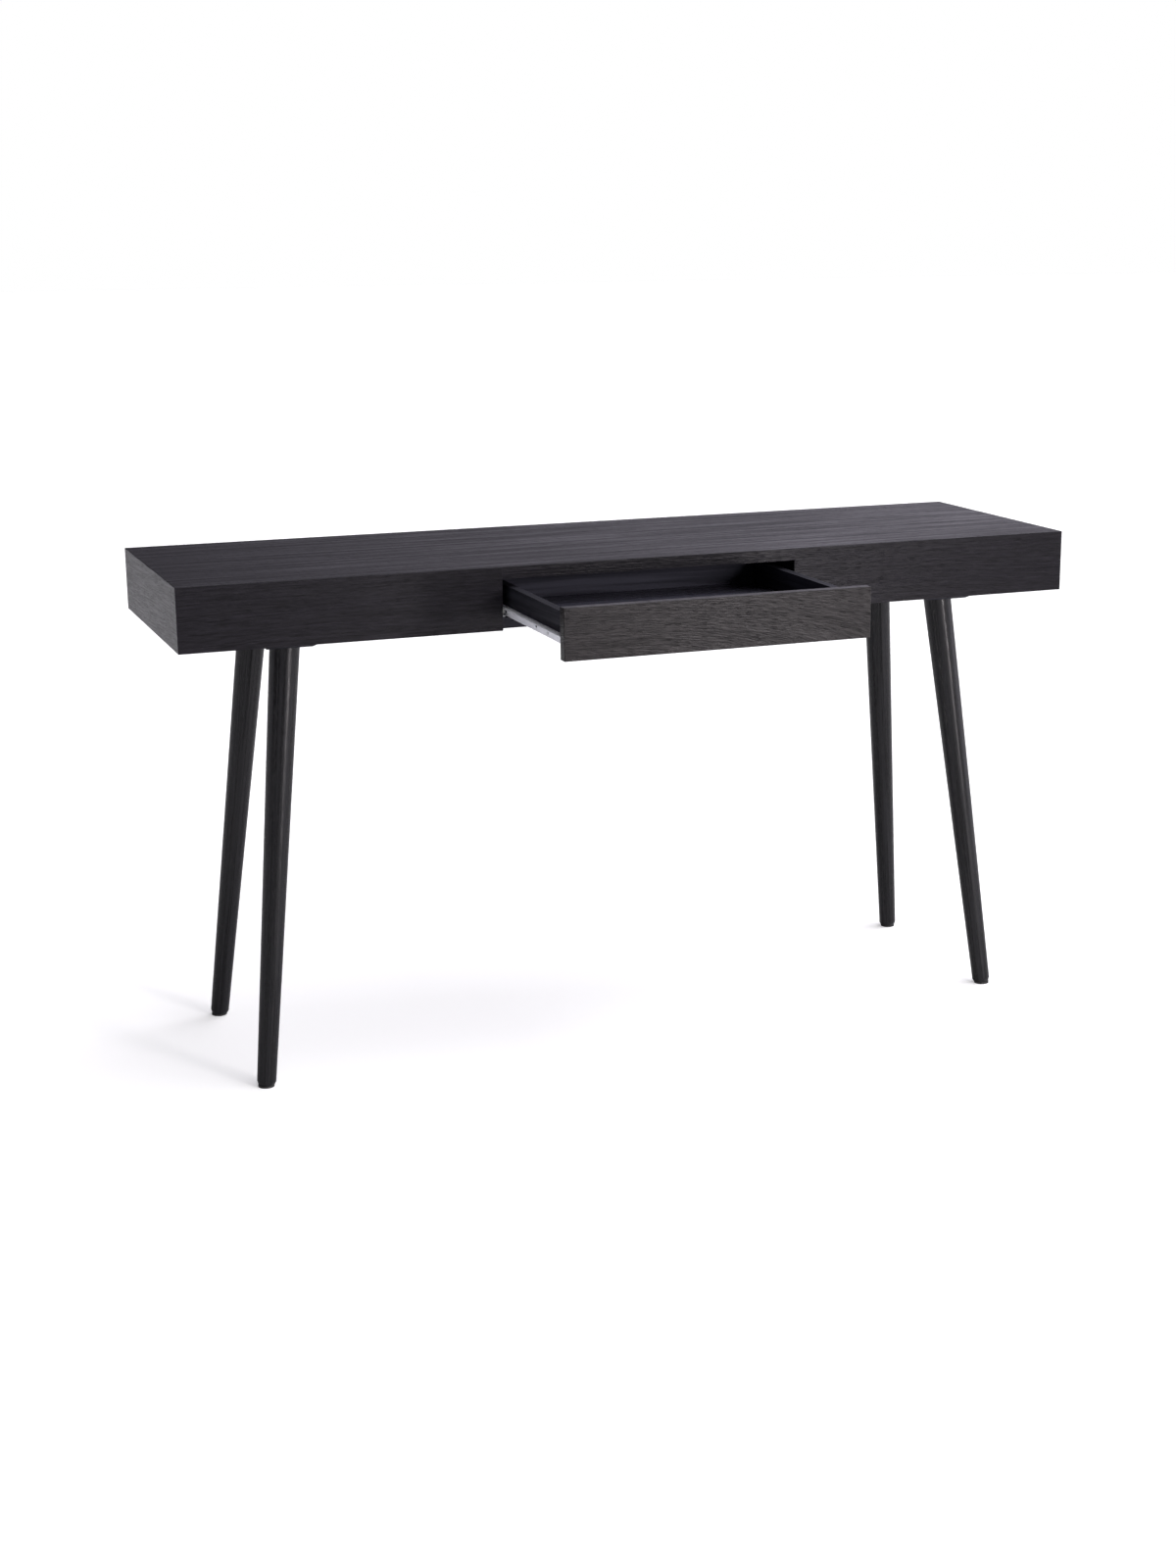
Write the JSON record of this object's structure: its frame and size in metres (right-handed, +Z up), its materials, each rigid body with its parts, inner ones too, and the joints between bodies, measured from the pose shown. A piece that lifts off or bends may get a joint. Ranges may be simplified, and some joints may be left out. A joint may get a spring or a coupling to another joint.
{
  "type": "console table",
  "caption": "Long shallow console table in black-stained oak, a mitred box top with a handleless centre drawer on roller runners and splayed, tapered round legs.",
  "frame": {"origin": "on the floor, straight below the centre of the table top (the top's own 1400 by 400 mm outline, drawer left out)", "axes": "+X along the table's length, towards its right end as seen from the front; +Y from the drawer side to the back; +Z up"},
  "size_m": [1.4, 0.655, 0.75],
  "materials": {
    "black_oak_veneer": "open-grained black stain, satin",
    "black_board": "black stain, matt",
    "black_drawer_board": "black stain, matt",
    "black_leg": "black lacquer, satin",
    "runner_enamel": "light grey epoxy coat, satin",
    "nylon": "smooth",
    "zinc_steel": "zinc plated",
    "raw_beech": "raw, sanded",
    "clear_rubber": "soft, cloudy",
    "glide_plastic": "matt"
  },
  "bodies": {
    "table": {"top_panel": "black_oak_veneer", "fascia_left": "black_oak_veneer", "fascia_right": "black_oak_veneer", "drawer_lintel": "black_oak_veneer", "end_panel_left": "black_oak_veneer", "end_panel_right": "black_oak_veneer", "back_panel": "black_oak_veneer", "bottom_panel": "black_board", "partition_left": "black_board", "partition_right": "black_board", "partition_screws": "zinc_steel", "glue_blocks": "raw_beech", "cabinet_runner_left": "runner_enamel", "cabinet_runner_right": "runner_enamel", "cabinet_runner_screws": "zinc_steel", "front_roller_rivets": "zinc_steel", "leg_block_front_left": "black_board", "leg_block_front_right": "black_board", "leg_block_back_left": "black_board", "leg_block_back_right": "black_board", "leg_block_screws": "zinc_steel", "leg_inserts": "zinc_steel", "leg_bolts": "zinc_steel", "leg_front_left": "black_leg", "leg_front_right": "black_leg", "leg_back_left": "black_leg", "leg_back_right": "black_leg", "foot_glides": "glide_plastic"},
    "drawer": {"drawer_front": "black_oak_veneer", "drawer_inner_front": "black_drawer_board", "drawer_side_left": "black_drawer_board", "drawer_side_right": "black_drawer_board", "drawer_back": "black_drawer_board", "drawer_bottom": "black_drawer_board", "drawer_dowels": "raw_beech", "drawer_front_screws": "zinc_steel", "drawer_bumpers": "clear_rubber", "drawer_runner_left": "runner_enamel", "drawer_runner_right": "runner_enamel", "drawer_runner_screws": "zinc_steel", "rear_roller_rivets": "zinc_steel"},
    "front_roller_left": {"front_roller_left": "nylon"},
    "front_roller_right": {"front_roller_right": "nylon"},
    "rear_roller_left": {"rear_roller_left": "nylon"},
    "rear_roller_right": {"rear_roller_right": "nylon"}
  },
  "joints": [
    {"name": "drawer_slide", "type": "slide", "parent": "table", "child": "drawer", "axis": [0, 1, 0], "range_m": [0, 0.255]},
    {"name": "front_roller_left_spin", "type": "hinge", "parent": "table", "child": "front_roller_left", "pos_m": [-0.2277, -0.171, 0.6815], "axis": [1, 0, 0], "range_deg": [-2440, 0]},
    {"name": "front_roller_right_spin", "type": "hinge", "parent": "table", "child": "front_roller_right", "pos_m": [0.2277, -0.171, 0.6815], "axis": [1, 0, 0], "range_deg": [-2440, 0]},
    {"name": "rear_roller_left_spin", "type": "hinge", "parent": "drawer", "child": "rear_roller_left", "pos_m": [-0.2267, -0.098, 0.6815], "axis": [1, 0, 0], "range_deg": [-2440, 0]},
    {"name": "rear_roller_right_spin", "type": "hinge", "parent": "drawer", "child": "rear_roller_right", "pos_m": [0.2267, -0.098, 0.6815], "axis": [1, 0, 0], "range_deg": [-2440, 0]}
  ],
  "couplings": [
    {"joint": "front_roller_left_spin", "follows": "drawer_slide", "rad_per_m": -166.67},
    {"joint": "front_roller_right_spin", "follows": "drawer_slide", "rad_per_m": -166.67},
    {"joint": "rear_roller_left_spin", "follows": "drawer_slide", "rad_per_m": -166.67},
    {"joint": "rear_roller_right_spin", "follows": "drawer_slide", "rad_per_m": -166.67}
  ]
}
